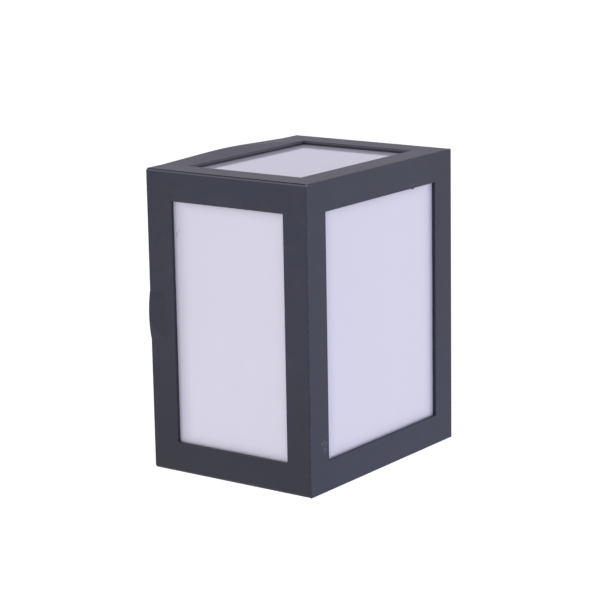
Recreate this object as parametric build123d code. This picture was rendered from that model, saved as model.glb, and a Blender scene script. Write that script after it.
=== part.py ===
from build123d import *
import os
from math import pi, radians, sqrt, tan

# Outdoor wall lantern, in millimetres.
# The wall is the plane y = 0, and the lantern stands out from it towards -Y.
# X runs along the wall, Z is up, and the origin is the middle of the wall face.

os.makedirs("parts", exist_ok=True)

# ---- driving dimensions of the cage ----
cage_width = 165.0
cage_depth = 127.0
cage_height = 200.0
wall_gap = 2.0            # air between the cage and the wall
bar = 20.0                # width of the frame bars
front_bar = 18.5          # the top, bottom and side bars next to the front edges
frame_wall = 2.3          # thickness of the frames, and so the depth of the windows
rim = 0.5                 # edge of the main frame that shows round a side frame
side_step = 1.1           # the top and bottom stop this far short of a side frame's face
seam = 0.1                # gap above and below a side frame
front_seam = 0.1          # gap in front of a side frame
edge_round = 0.4
side_round = 1.0          # rounded top and bottom edges of the side frames
rear_round = 0.4
window_break = 0.3        # small chamfer round each window
crown_height = 1.85       # rise of the rear top bar at its middle
crown_half = 64.0
crown_tip = 20.0          # half length of the rounded middle of that rise
swell_height = 1.6        # outward swell of a side frame's rear edge at mid height
swell_half = 15.5
swell_z = 3.5
swell_depth = 14.0

# ---- opal diffuser ----
diffuser_wall = 2.0
diffuser_gap = 0.3        # between the frames and the diffuser
diffuser_bevel = 14.0     # flat cut along its edges, which leaves room for the corner posts
neck_half_x = 76.5
neck_half_z = 94.0
neck_bevel = 16.0
shoulder_y = -20.0
neck_end_y = -8.7

# ---- screws: shank radius, head radius, head height ----
post_screw = (1.45, 2.5, 1.8)
tray_screw = (1.45, 2.8, 1.9)
board_screw = (1.25, 2.2, 1.4)
clamp_screw = (1.45, 2.7, 2.0)
thread_gap = 0.02         # radial gap between a tapping screw and its hole
pass_gap = 0.15           # radial gap of a hole that a screw passes through
retaining_r = 2.0
retaining_head_r = 3.75

# ---- wall base ----
plate = 3.0
base_front_y = -14.0      # front edge of the seal channel
groove_floor_y = -6.0
groove_gap = 0.6          # beside the diffuser's neck
channel_wall = 2.1
slot_x = 50.0             # wall screw slots, each side of the middle
slot_width = 5.0
slot_length = 12.0
entry_z = -58.0           # mains cable entry
entry_bore = 3.6
retaining_x = 72.0
retaining_y = -9.0
post_x = 58.0
post_z = 66.0

# ---- light source ----
tray_y = -28.0            # front of the tray
tray_sheet = 1.0
tray_half_x = 70.0
tray_half_z = 86.5
tray_bevel = 14.0
board_width = 70.0
board_height = 130.0
board_thick = 1.5
chip_columns = 3
chip_rows = 8
chip_pitch_x = 22.0
chip_pitch_z = 14.0

# ---- driver, terminals and leads ----
driver_half_x = 40.0
driver_low_z = 28.0
driver_high_z = 66.0
driver_front_y = -23.5
driver_skin = 1.5
ear_x = 44.0
driver_mid_z = (driver_low_z + driver_high_z) / 2
lead_y = -12.0
mains_lead_r = 1.0
led_lead_r = 0.9
pole_pitch = 10.0
pole_y = -11.0
block_top_z = -8.0
block_low_z = -26.0
clamp_z = -40.0

half_x = cage_width / 2
half_z = cage_height / 2
rear_y = -wall_gap
front_y = rear_y - cage_depth
inner_x = half_x - frame_wall
inner_z = half_z - frame_wall
window_front_y = front_y + front_bar
window_rear_y = rear_y - bar
sides = (-1, 1)


# ---- helpers ----
def block(x_range, y_range, z_range):
    # a box between two values on each axis
    size = [abs(r[1] - r[0]) for r in (x_range, y_range, z_range)]
    middle = [(r[0] + r[1]) / 2 for r in (x_range, y_range, z_range)]
    return Pos(*middle) * Box(*size)


def rod(x, z, radius, y_rear, y_front):
    # a cylinder along Y
    middle = (y_rear + y_front) / 2
    return Pos(x, middle, z) * Rot(90, 0, 0) * Cylinder(radius, y_rear - y_front)


def rod_x(y, z, radius, x_start, x_end):
    # a cylinder along X
    middle = (x_start + x_end) / 2
    return Pos(middle, y, z) * Rot(0, 90, 0) * Cylinder(radius, abs(x_end - x_start))


def rod_z(x, y, radius, z_start, z_end):
    # a cylinder along Z
    return Pos(x, y, (z_start + z_end) / 2) * Cylinder(radius, abs(z_end - z_start))


def grown(outline, by):
    # half width, half height and corner cut of a cut-corner rectangle offset by a distance
    half_width, half_height, corner = outline
    return (half_width + by, half_height + by, corner + by * (2 - sqrt(2)))


def prism(outline, y_rear, y_front):
    # a cut-corner rectangle swept along -Y
    w, h, c = outline
    points = [
        (w, c - h), (w, h - c), (w - c, h), (c - w, h),
        (-w, h - c), (-w, c - h), (c - w, -h), (w - c, -h),
    ]
    face = Plane.XZ.offset(-y_rear) * make_face(Polyline(*points, close=True))
    return extrude(face, amount=y_rear - y_front)


def group(shapes):
    # several separate solids in one node
    return Compound(children=[s for shape in shapes for s in shape.solids()])


def save(shape, node):
    export_step(shape, "parts/" + node + ".step")


def cross_cut(place, head_r, depth):
    # cross recess in a screw head whose top is at the local origin, facing +Z
    long_side = head_r * 1.15
    short_side = head_r * 0.28
    cut = Pos(0, 0, -depth / 2) * Box(long_side, short_side, depth)
    cut += Pos(0, 0, -depth / 2) * Box(short_side, long_side, depth)
    return place * cut


def pan_screw(place, size, length):
    # pan head screw: head above the local origin, shank below it
    shank_r, head_r, head_h = size
    head = Pos(0, 0, head_h / 2) * Cylinder(head_r, head_h)
    head = fillet(head.edges().sort_by(Axis.Z)[-1], head_h * 0.45)
    shank = Pos(0, 0, -length / 2) * Cylinder(shank_r, length)
    shank = chamfer(shank.edges().sort_by(Axis.Z)[0], shank_r * 0.4)
    screw = head + shank
    screw -= cross_cut(Pos(0, 0, head_h), head_r, head_h * 0.55)
    return place * screw


def facing_front(x, y, z):
    # a place whose local +Z is the row's -Y
    return Pos(x, y, z) * Rot(90, 0, 0)


def lead(points, radius):
    # an insulated lead: straight runs joined by the largest arcs that they leave room for
    route = [Vector(*p) for p in points]
    runs = [route[i + 1] - route[i] for i in range(len(route) - 1)]
    radii = []
    for i in range(len(runs) - 1):
        turn = runs[i].get_angle(runs[i + 1])
        shorter = min(runs[i].length, runs[i + 1].length)
        radii.append(0.45 * shorter / tan(radians(turn / 2)))
    path = FilletPolyline(*points, radius=radii)
    section = Plane(origin=path @ 0, z_dir=path % 0) * Circle(radius)
    tube = sweep(section, path=path)
    expected = pi * radius ** 2 * path.length
    print("lead radii", [round(r, 1) for r in radii], "volume ratio", round(tube.volume / expected, 4))
    return tube


# ---- main frame: front, top and bottom in one moulding ----
body = block((-half_x, half_x), (front_y, rear_y), (-half_z, half_z))
main_frame = fillet(body.edges(), edge_round)
beyond = 10.0
main_frame -= block(
    (-half_x - beyond, half_x + beyond),
    (front_y + frame_wall, rear_y + beyond),
    (-inner_z, inner_z),
)
for side in sides:
    main_frame -= block(
        (side * inner_x, side * (half_x + beyond)),
        (front_y + rim, rear_y + beyond),
        (rim - half_z, half_z - rim),
    )
    main_frame -= block(
        (side * (half_x - side_step), side * (half_x + beyond)),
        (front_y + rim, rear_y + beyond),
        (-half_z - beyond, half_z + beyond),
    )

# front, top and bottom windows, with a small chamfer on the outside
window_half_x = half_x - bar
window_half_z = half_z - bar


def window_cut(width, height):
    # cutter for one window: local +Z faces out and the frame's outer face is at z = 0
    cut = Box(width, height, 4 * frame_wall)
    wide = Plane.XY * Rectangle(width + 2 * window_break, height + 2 * window_break)
    narrow = Plane.XY.offset(-window_break) * Rectangle(width, height)
    return cut + loft([narrow.face(), wide.face()])


window_mid_y = (window_front_y + window_rear_y) / 2
window_depth = window_rear_y - window_front_y
main_frame -= Pos(0, front_y, 0) * Rot(90, 0, 0) * window_cut(2 * window_half_x, 2 * window_half_z)
main_frame -= Pos(0, window_mid_y, half_z) * window_cut(2 * window_half_x, window_depth)
main_frame -= Pos(0, window_mid_y, -half_z) * Rot(180, 0, 0) * window_cut(2 * window_half_x, window_depth)

# crown of the rear top bar: two straight flanks and a rounded middle, rising towards the wall
flank_slope = crown_height / (crown_half - crown_tip / 2)
tip_start_z = half_z + flank_slope * (crown_half - crown_tip)
crown_outline = Polyline(
    (-crown_tip, tip_start_z), (-crown_half, half_z), (-crown_half, half_z - rim),
    (crown_half, half_z - rim), (crown_half, half_z), (crown_tip, tip_start_z),
)
crown_outline += ThreePointArc(
    (crown_tip, tip_start_z), (0, half_z + crown_height), (-crown_tip, tip_start_z))
crown = extrude(Plane.XZ * make_face(crown_outline), amount=2 * bar)
wedge_points = [
    (rear_y - bar, half_z - rim), (rear_y, half_z - rim),
    (rear_y, half_z + crown_height), (rear_y - bar, half_z),
]
wedge_face = Plane.YZ.offset(-crown_half) * make_face(Polyline(*wedge_points, close=True))
main_frame += extrude(wedge_face, amount=2 * crown_half) & crown

# fine joint line across the rear top bar
joint_x = -19.0
joint_width = 0.3
main_frame -= block(
    (joint_x, joint_x + joint_width),
    (window_rear_y, rear_y),
    (half_z - joint_width, half_z + crown_height),
)

# ears with holes for the side frame screws, in the four corners of each side
post_r = 2.75
post_start = inner_x - 4.5
ear_thick = 2.0
post_level = inner_z - 3.0
post_rear_y = -18.4
post_front_y = front_y + frame_wall + 3.0
post_places = [(y, s * post_level) for y in (post_rear_y, post_front_y) for s in sides]
for side in sides:
    for y, z in post_places:
        up = 1 if z > 0 else -1
        ear = block(
            (side * (post_start - ear_thick), side * post_start),
            (y - 3.0, y + 3.0),
            (up * (post_level - 3.0), up * (inner_z + frame_wall / 2)),
        )
        ear -= rod_x(y, z, post_screw[0] + pass_gap, side * (post_start - 5), side * (post_start + 5))
        main_frame += ear

# retaining ribs behind the diffuser's shoulder
rib_gap = 0.3
rib_start_x = 20.0
rib_end_x = 40.0
for side in sides:
    for up in sides:
        main_frame += block(
            (side * rib_start_x, side * rib_end_x),
            (shoulder_y + rib_gap, shoulder_y + 3.8),
            (up * (neck_half_z + 0.4), up * (inner_z + frame_wall / 2)),
        )

# countersunk holes for the retaining screws in the underside
head_drop = 0.1           # how far a retaining screw's head sits inside the face
sink_r = retaining_head_r + 0.1
sink_depth = sink_r - retaining_r - pass_gap
for side in sides:
    sink = Pos(side * retaining_x, retaining_y, -half_z + sink_depth / 2)
    main_frame -= sink * Cone(sink_r, retaining_r + pass_gap, sink_depth)
    main_frame -= rod_z(side * retaining_x, retaining_y, retaining_r + pass_gap, -half_z, -inner_z)
save(main_frame, "main_frame")


# ---- side frames ----
def side_frame(side):
    frame = block(
        (side * inner_x, side * half_x),
        (front_y + rim + front_seam, rear_y),
        (rim + seam - half_z, half_z - rim - seam),
    )
    face_edges = frame.faces().sort_by(Axis.X)[-1 if side > 0 else 0].edges()
    frame = fillet(face_edges.filter_by(Axis.Y), side_round)
    rear_edges = frame.edges().filter_by(Axis.Z).group_by(Axis.Y)[-1].sort_by(Axis.X)
    frame = fillet(rear_edges[-1 if side > 0 else 0], rear_round)
    turn = Rot(0, 90 * side, 0)
    frame -= Pos(side * half_x, window_mid_y, 0) * turn * window_cut(2 * window_half_z, window_depth)
    # swell at mid height of the rear edge, over the locating pad of the base
    swell_r = (swell_half ** 2 + swell_height ** 2) / (2 * swell_height)
    bow = Pos(side * (half_x + swell_height - swell_r), 0, swell_z) * Rot(90, 0, 0)
    bow = bow * Cylinder(swell_r, 4 * bar)
    points = [
        (side * (half_x - 1), rear_y - swell_depth), (side * (half_x - 1), rear_y),
        (side * (half_x + swell_height), rear_y), (side * half_x, rear_y - swell_depth),
    ]
    ramp = make_face(Plane.XY.offset(swell_z - swell_half) * Polyline(*points, close=True))
    frame += extrude(ramp, amount=2 * swell_half, dir=(0, 0, 1)) & bow
    for y, z in post_places:
        frame += rod_x(y, z, post_r, side * post_start, side * (inner_x + frame_wall / 2))
    for y, z in post_places:
        frame -= rod_x(y, z, post_screw[0] + thread_gap, side * (post_start - 1), side * (inner_x - 0.2))
    return frame


save(side_frame(-1), "side_frame_left")
save(side_frame(1), "side_frame_right")

screw_length = 6.0
screws = []
for side in sides:
    for y, z in post_places:
        place = Pos(side * (post_start - ear_thick), y, z) * Rot(0, -90 * side, 0)
        screws.append(pan_screw(place, post_screw, screw_length))
save(group(screws), "side_frame_screws")

# ---- opal diffuser: five closed faces and a neck that plugs into the base ----
neck = (neck_half_x, neck_half_z, neck_bevel)
shade = (inner_x - diffuser_gap, inner_z - diffuser_gap, diffuser_bevel)
shade_front_y = front_y + frame_wall + diffuser_gap


def bevelled(outline, y_rear, y_front):
    # a prism whose front edges are cut like its corners
    solid = prism(outline, y_rear, y_front)
    return chamfer(solid.faces().sort_by(Axis.Y)[0].edges(), outline[2])


diffuser = bevelled(shade, shoulder_y, shade_front_y)
diffuser += prism(neck, neck_end_y, shoulder_y - 1)
diffuser -= bevelled(
    grown(shade, -diffuser_wall), shoulder_y - diffuser_wall, shade_front_y + diffuser_wall)
diffuser -= prism(grown(neck, -diffuser_wall), neck_end_y + 1, shoulder_y - diffuser_wall - 1)
save(diffuser, "opal_diffuser")

# ---- retaining screws and nuts ----
retaining_length = 10.5
nut_side = 6.8
nut_low_z = -94.0
nut_thick = 3.0
nut_gap = 0.04
nuts = []
for side, word in ((-1, "left"), (1, "right")):
    head_z = -half_z + head_drop
    cone_h = retaining_head_r - retaining_r
    screw = Pos(side * retaining_x, retaining_y, head_z + cone_h / 2)
    screw = screw * Cone(retaining_head_r, retaining_r, cone_h)
    screw += rod_z(side * retaining_x, retaining_y, retaining_r, head_z, head_z + retaining_length)
    screw -= cross_cut(
        Pos(side * retaining_x, retaining_y, head_z) * Rot(180, 0, 0), retaining_head_r * 1.05, 1.2)
    save(screw, "retaining_screw_" + word)
    nut = Pos(side * retaining_x, retaining_y, nut_low_z + nut_thick / 2)
    nut = nut * Box(nut_side, nut_side, nut_thick)
    nut = chamfer(nut.edges().filter_by(Axis.Z), 0.5)
    nut -= rod_z(side * retaining_x, retaining_y, retaining_r + nut_gap, nut_low_z - 1, nut_low_z + 5)
    nuts.append(nut)
save(group(nuts), "retaining_nuts")

# ---- rear base ----
channel_outer = grown(neck, groove_gap + channel_wall)
groove_outer = grown(neck, groove_gap)
groove_inner = grown(neck, -diffuser_wall - groove_gap)
channel_inner = grown(groove_inner, -1.8)
base_half_x = channel_outer[0]
base_half_z = channel_outer[1]
boss_foot = -1.2          # blind holes stop here, short of the wall face

base = block((-base_half_x, base_half_x), (-plate, 0), (-base_half_z, base_half_z))
base = fillet(base.edges().filter_by(Axis.Y), 3.0)
ring = prism(channel_outer, -plate, base_front_y) - prism(channel_inner, -plate, base_front_y)
ring -= prism(groove_outer, groove_floor_y, base_front_y) - prism(groove_inner, groove_floor_y, base_front_y)
base += ring

# fork lugs that the retaining screws clamp on, open towards the front
lug_top_z = -94.2
lug_slot = 2.2
lug_inner_x = 62.0
lug_wall_top_z = -79.0
for side in sides:
    lug = block((side * lug_inner_x, side * base_half_x), (base_front_y, -plate), (-base_half_z, lug_top_z))
    lug += block(
        (side * (base_half_x - 2), side * base_half_x), (base_front_y, -plate), (-base_half_z, lug_wall_top_z))
    lug -= rod_z(side * retaining_x, retaining_y, lug_slot, -base_half_z - 1, lug_top_z + 1)
    lug -= block(
        (side * (retaining_x - lug_slot), side * (retaining_x + lug_slot)),
        (base_front_y - 1, retaining_y),
        (-base_half_z - 1, lug_top_z + 1),
    )
    base += lug

# pads that locate the cage on the base
pad_rise = 0.7
pad_y = (base_front_y, -4.0)
side_pad_half_z = 12.0
for side in sides:
    base += block(
        (side * (base_half_x - 1), side * (base_half_x + pad_rise)),
        pad_y,
        (-side_pad_half_z, side_pad_half_z),
    )
    pad_x = (side * 18.0, side * 48.0)
    base += block(pad_x, pad_y, (base_half_z - 1, base_half_z + pad_rise))
    base += block(pad_x, pad_y, (-base_half_z - pad_rise, 1 - base_half_z))

# posts for the light tray
tray_back_y = tray_y + tray_sheet
post_places_base = [(sx * post_x, sz * post_z) for sx in sides for sz in sides]
for x, z in post_places_base:
    base += rod(x, z, 4.0, -plate, tray_back_y)
    base += block((x - 0.8, x + 0.8), (-plate, tray_back_y + 6), (z - 7, z + 7))
    base -= rod(x, z, tray_screw[0] + thread_gap, tray_back_y + 9, tray_back_y - 1)

# bosses for the driver, the cord clamp and the terminal block
driver_boss_y = -6.0
clamp_seat_y = -8.0
clamp_screw_x = 9.5
block_seat_y = -5.0
boss_spots = [(s * ear_x, driver_mid_z, 3.5, driver_boss_y) for s in sides]
boss_spots += [(s * clamp_screw_x, clamp_z, 3.5, clamp_seat_y) for s in sides]
for x, z, radius, top_y in boss_spots:
    base += rod(x, z, radius, -plate, top_y)
base += block((-16, 16), (block_seat_y, -plate), (block_low_z - 2, block_top_z + 2))
base += block((-4, 4), (-5.6, -plate), (clamp_z - 3, clamp_z + 3))
block_screw_z = (block_top_z + block_low_z) / 2
block_spots = [(s * pole_pitch / 2, block_screw_z, 0, block_seat_y) for s in sides]
for x, z, radius, top_y in boss_spots + block_spots:
    base -= rod(x, z, clamp_screw[0] + thread_gap, boss_foot, top_y - 1)

# wall screw slots with thickened surrounds
slot_seat_y = -5.0
for side in sides:
    base += block((side * 40, side * 60), (slot_seat_y, -plate), (-8, 8))
    straight = (slot_length - slot_width) / 2
    base -= block(
        (side * slot_x - straight, side * slot_x + straight),
        (slot_seat_y - 1, 1),
        (-slot_width / 2, slot_width / 2),
    )
    for end in sides:
        base -= rod(side * slot_x + end * straight, 0, slot_width / 2, 1, slot_seat_y - 1)

# cable entry with a seat for the grommet
entry_seat_y = -5.0
grommet_neck_r = 8.0
grommet_flange_r = 11.0
grommet_recess = 2.0
base += rod(0, entry_z, 13.0, -plate, entry_seat_y)
base -= rod(0, entry_z, grommet_neck_r + 0.1, 1, entry_seat_y - 1)
base -= rod(0, entry_z, grommet_flange_r + 0.3, 1, -grommet_recess)

# groove for the wall gasket, and shallow coring pockets in the wall face
gasket_half_x = 77.0
gasket_half_z = 94.5
gasket_width = 5.0
gasket_thick = 1.5


def gasket_ring(spare, y_rear, y_front):
    # rectangular ring of the wall gasket, made larger all round by a spare gap
    outer = block(
        (-gasket_half_x - spare, gasket_half_x + spare),
        (y_front, y_rear),
        (-gasket_half_z - spare, gasket_half_z + spare),
    )
    outer = fillet(outer.edges().filter_by(Axis.Y), 3.0)
    inner = block(
        (gasket_width - gasket_half_x + spare, gasket_half_x - gasket_width - spare),
        (y_front, y_rear),
        (gasket_width - gasket_half_z + spare, gasket_half_z - gasket_width - spare),
    )
    return outer - fillet(inner.edges().filter_by(Axis.Y), 2.0)


pocket_depth = 0.8
pocket_columns = ((7, 34), (38, 66))
pocket_rows = ((14, 46), (50, 82), (-46, -14), (-82, -50))
base -= gasket_ring(0.1, 1, -gasket_thick)
for side in sides:
    for x0, x1 in pocket_columns:
        for z0, z1 in pocket_rows:
            near = x0 + 10 if z0 < 0 and x0 < 10 else x0
            pocket = block((side * near, side * x1), (-pocket_depth, 0), (z0, z1))
            base -= fillet(pocket.edges().filter_by(Axis.Y), 2.0)
save(base, "rear_base")
save(gasket_ring(0, 0, -gasket_thick), "wall_gasket")

# ---- diffuser seal in the channel ----
seal_thick = 2.6
seal_gap = 0.1
seal = prism(grown(groove_outer, -seal_gap), groove_floor_y, groove_floor_y - seal_thick)
seal -= prism(grown(groove_inner, seal_gap), groove_floor_y, groove_floor_y - seal_thick)
save(seal, "diffuser_seal")

# ---- cable grommet ----
grommet = rod(0, entry_z, grommet_neck_r, -0.1, entry_seat_y - 2)
grommet += rod(0, entry_z, grommet_flange_r, -0.1, -grommet_recess)
grommet += rod(0, entry_z, grommet_neck_r + 1.6, entry_seat_y, entry_seat_y - 2)
grommet -= rod(0, entry_z, entry_bore, 1, entry_seat_y - 3)
save(grommet, "cable_grommet")

# ---- light tray: white sheet with a turned-back rim ----
tray_outline = (tray_half_x, tray_half_z, tray_bevel)
rim_depth = 8.0
tray = prism(tray_outline, tray_y + rim_depth, tray_y)
tray = chamfer(tray.faces().sort_by(Axis.Y)[0].edges(), 0.6)
tray -= prism(grown(tray_outline, -tray_sheet), tray_y + rim_depth + 1, tray_back_y)
lead_hole_z = -78.0
lead_hole_r = 5.0
access_r = 7.0
for x, z in post_places_base:
    tray -= rod(x, z, tray_screw[0] + pass_gap, 0, tray_y - 1)
for side in sides:
    tray -= rod(side * slot_x, 0, access_r, 0, tray_y - 1)
board_screw_x = 31.0
board_screw_z = 61.0
board_spots = [(sx * board_screw_x, sz * board_screw_z) for sx in sides for sz in sides]
for x, z in board_spots:
    tray -= rod(x, z, board_screw[0] + thread_gap, 0, tray_y - 1)
tray -= rod(0, lead_hole_z, lead_hole_r, 0, tray_y - 1)
save(tray, "led_tray")

tray_screws = [
    pan_screw(facing_front(x, tray_y, z), tray_screw, 9.0) for x, z in post_places_base
]
save(group(tray_screws), "tray_screws")

# ---- grommet for the leads in the tray ----
grommet_lip = 1.0
lead_bore_r = 3.4
lead_grommet = rod(0, lead_hole_z, lead_hole_r - 0.05, tray_back_y + grommet_lip, tray_y - grommet_lip)
for y in (tray_back_y + grommet_lip, tray_y):
    lead_grommet += rod(0, lead_hole_z, lead_hole_r + 1.3, y, y - grommet_lip)
lead_grommet -= rod(0, lead_hole_z, lead_bore_r, 0, tray_y - 5)
save(lead_grommet, "lead_grommet")

# ---- light board, its chips, screws and connector ----
board_y = tray_y - board_thick
board = block(
    (-board_width / 2, board_width / 2), (board_y, tray_y), (-board_height / 2, board_height / 2))
board = fillet(board.edges().filter_by(Axis.Y), 3.0)
for x, z in board_spots:
    board -= rod(x, z, board_screw[0] + pass_gap, 0, board_y - 1)
save(board, "led_board")

chips = []
chip_size = (2.8, 0.8, 3.5)
lens_depth = 0.15
for column in range(chip_columns):
    for row in range(chip_rows):
        x = (column - (chip_columns - 1) / 2) * chip_pitch_x
        z = (row - (chip_rows - 1) / 2) * chip_pitch_z
        chip = Pos(x, board_y - chip_size[1] / 2, z) * Box(*chip_size)
        chip -= rod(x, z, 1.1, board_y - chip_size[1] + lens_depth, board_y - 2 * chip_size[1])
        chips.append(chip)
save(group(chips), "led_chips")

board_screws = [pan_screw(facing_front(x, board_y, z), board_screw, 4.0) for x, z in board_spots]
save(group(board_screws), "board_screws")

connector_low_z = -63.0
connector_size = (9.0, 4.0, 6.0)
led_lead_x = 1.6
led_entry_y = board_y - connector_size[1] / 2
connector = Pos(0, led_entry_y, connector_low_z + connector_size[2] / 2) * Box(*connector_size)
connector = chamfer(connector.faces().sort_by(Axis.Y)[0].edges(), 0.4)
connector -= block((-1.0, 1.0), (led_entry_y - 3, led_entry_y - 1.4), (connector_low_z, -50))
save(connector, "board_connector")

# ---- driver: potting case, lid, board and its largest components ----
case = block((-driver_half_x, driver_half_x), (driver_front_y, -plate), (driver_low_z, driver_high_z))
case = fillet(case.edges().filter_by(Axis.Y), 2.0)
case -= block(
    (driver_skin - driver_half_x, driver_half_x - driver_skin),
    (driver_front_y - 1, -plate - driver_skin),
    (driver_low_z + driver_skin, driver_high_z - driver_skin),
)
ear_thick_driver = 2.0
for side in sides:
    ear = block(
        (side * (driver_half_x - 1), side * (ear_x + 4.5)),
        (driver_boss_y - ear_thick_driver, driver_boss_y),
        (driver_mid_z - 5, driver_mid_z + 5),
    )
    ear -= block(
        (side * (driver_half_x - 3), side * (driver_half_x - driver_skin)),
        (driver_boss_y - 5, driver_boss_y + 1),
        (driver_mid_z - 6, driver_mid_z + 6),
    )
    ear -= rod(side * ear_x, driver_mid_z, clamp_screw[0] + pass_gap, 0, driver_boss_y - 5)
    case += ear
save(case, "driver_case")

lid = block(
    (-driver_half_x, driver_half_x), (driver_front_y - driver_skin, driver_front_y),
    (driver_low_z, driver_high_z))
lid = fillet(lid.edges().filter_by(Axis.Y), 2.0)
lid = chamfer(lid.faces().sort_by(Axis.Y)[0].edges(), 0.4)
plug_gap = driver_skin + 0.15
lid += block(
    (plug_gap - driver_half_x, driver_half_x - plug_gap), (driver_front_y, driver_front_y + 1.5),
    (driver_low_z + plug_gap, driver_high_z - plug_gap))
save(lid, "driver_lid")

driver_board_y = -9.0
driver_board = block(
    (2.5 - driver_half_x, driver_half_x - 2.5), (driver_board_y - 1.6, driver_board_y),
    (driver_low_z + 2.5, driver_high_z - 2.5))
save(driver_board, "driver_board")
parts_y = driver_board_y - 1.6
transformer = block((-9, 9), (parts_y - 9, parts_y), (driver_mid_z - 8, driver_mid_z + 8))
transformer = chamfer(transformer.edges().filter_by(Axis.Y), 1.5)
save(transformer, "driver_transformer")
can_r = 4.0
cans = []
for x, z in ((-26, driver_mid_z + 7), (-26, driver_mid_z - 5), (24, driver_mid_z + 4)):
    can = rod(x, z, can_r, parts_y, parts_y - 10)
    cans.append(fillet(can.edges().sort_by(Axis.Y)[0], 0.6))
save(group(cans), "driver_capacitors")

ear_face_y = driver_boss_y - ear_thick_driver
driver_screws = [
    pan_screw(facing_front(s * ear_x, ear_face_y, driver_mid_z), clamp_screw, 6.4) for s in sides
]
save(group(driver_screws), "driver_screws")

# ---- terminal block ----
block_front_y = -20.0
poles = (-pole_pitch, 0, pole_pitch)
sleeve_r = 2.8
sleeve_bore = 1.7
terminal_screw = (1.4, 1.75, 1.6)
terminal_levels = (block_screw_z + 4.5, block_screw_z - 4.5)
terminal_tip_y = pole_y - 1.2
terminal_head_y = -17.0
terminal = block((-15, 15), (block_front_y, block_seat_y), (block_low_z, block_top_z))
for x in (-pole_pitch / 2, pole_pitch / 2):
    terminal -= block(
        (x - 0.6, x + 0.6), (block_front_y - 1, block_front_y + 3), (block_low_z, block_top_z))
for x in poles:
    terminal -= rod_z(x, pole_y, sleeve_r + 0.05, block_low_z - 1, block_top_z + 1)
    for z in terminal_levels:
        terminal -= rod(x, z, terminal_screw[1] + 0.15, pole_y, block_front_y - 1)
block_head_y = -16.5
for x, z, radius, top_y in block_spots:
    terminal -= rod(x, z, clamp_screw[0] + pass_gap, 0, block_front_y - 1)
    terminal -= rod(x, z, post_screw[1] + pass_gap, block_head_y, block_front_y - 1)
save(terminal, "terminal_block")

sleeves = []
terminal_screws = []
for x in poles:
    sleeve = rod_z(x, pole_y, sleeve_r, block_low_z + 1, block_top_z - 1)
    sleeve -= rod_z(x, pole_y, sleeve_bore, block_low_z - 1, block_top_z + 1)
    for z in terminal_levels:
        sleeve -= rod(x, z, terminal_screw[0] + thread_gap, pole_y, block_front_y)
        shank = terminal_tip_y - terminal_head_y
        terminal_screws.append(pan_screw(facing_front(x, terminal_head_y, z), terminal_screw, shank))
    sleeves.append(sleeve)
save(group(sleeves), "terminal_sleeves")
save(group(terminal_screws), "terminal_screws")

block_screws = [
    pan_screw(facing_front(x, block_head_y, z), post_screw, boss_foot - block_head_y - 0.3)
    for x, z, radius, top_y in block_spots
]
save(group(block_screws), "block_screws")

# ---- cord clamp ----
clamp_thick = 4.0
clamp_front_y = clamp_seat_y - clamp_thick
clamp = block((-14, 14), (clamp_front_y, clamp_seat_y), (clamp_z - 4.5, clamp_z + 4.5))
clamp = fillet(clamp.edges().filter_by(Axis.Y), 3.0)
clamp -= rod_z(0, clamp_seat_y + 1.2, 3.9, clamp_z - 10, clamp_z + 10)
for side in sides:
    clamp -= rod(side * clamp_screw_x, clamp_z, clamp_screw[0] + pass_gap, 0, clamp_front_y - 1)
save(clamp, "cord_clamp")
clamp_screws = [
    pan_screw(facing_front(s * clamp_screw_x, clamp_front_y, clamp_z), clamp_screw, 10.4) for s in sides
]
save(group(clamp_screws), "cord_clamp_screws")

# ---- leads inside the base ----
lead_end_z = block_top_z - 6.0
for node, x_driver, x_pole, step_z in (
    ("live_lead", -28.0, -pole_pitch, 12.0),
    ("neutral_lead", -23.0, 0.0, 18.0),
):
    route = [
        (x_driver, lead_y, driver_low_z),
        (x_driver, lead_y, step_z),
        (x_pole, pole_y, step_z - 6.0),
        (x_pole, pole_y, lead_end_z),
    ]
    save(lead(route, mains_lead_r), node)

for node, x_driver, x_board in (
    ("led_lead_positive", 30.0, led_lead_x),
    ("led_lead_negative", 25.0, -led_lead_x),
):
    route = [
        (x_driver, lead_y, driver_low_z),
        (x_driver, lead_y, -30.0),
        (x_board, lead_y, lead_hole_z),
        (x_board, led_entry_y, lead_hole_z),
        (x_board, led_entry_y, connector_low_z),
    ]
    save(lead(route, led_lead_r), node)
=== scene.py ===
import math
import random

import bmesh
import bpy
from mathutils import Matrix, Vector


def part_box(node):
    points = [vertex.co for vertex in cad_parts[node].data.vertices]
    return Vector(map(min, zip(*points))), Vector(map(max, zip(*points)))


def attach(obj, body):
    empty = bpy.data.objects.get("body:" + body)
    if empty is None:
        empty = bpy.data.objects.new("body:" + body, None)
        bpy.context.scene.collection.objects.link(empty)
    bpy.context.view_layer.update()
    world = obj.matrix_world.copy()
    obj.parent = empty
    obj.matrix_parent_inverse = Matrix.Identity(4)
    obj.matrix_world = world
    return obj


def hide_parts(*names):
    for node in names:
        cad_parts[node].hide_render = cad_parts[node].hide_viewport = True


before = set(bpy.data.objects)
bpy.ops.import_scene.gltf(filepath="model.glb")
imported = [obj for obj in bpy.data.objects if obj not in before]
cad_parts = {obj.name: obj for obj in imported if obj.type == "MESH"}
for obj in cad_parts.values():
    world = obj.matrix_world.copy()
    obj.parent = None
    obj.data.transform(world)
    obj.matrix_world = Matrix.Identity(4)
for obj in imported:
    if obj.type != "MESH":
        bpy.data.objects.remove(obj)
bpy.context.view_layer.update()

cageLow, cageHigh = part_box("main_frame")
mm = 0.001
windowHalfX = 62.5 * mm
windowHalfZ = 80.0 * mm
windowRear = cageHigh.y - 20.0 * mm
windowFront = cageLow.y + 18.5 * mm
print("frame loaded:", len(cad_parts), "nodes")


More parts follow.
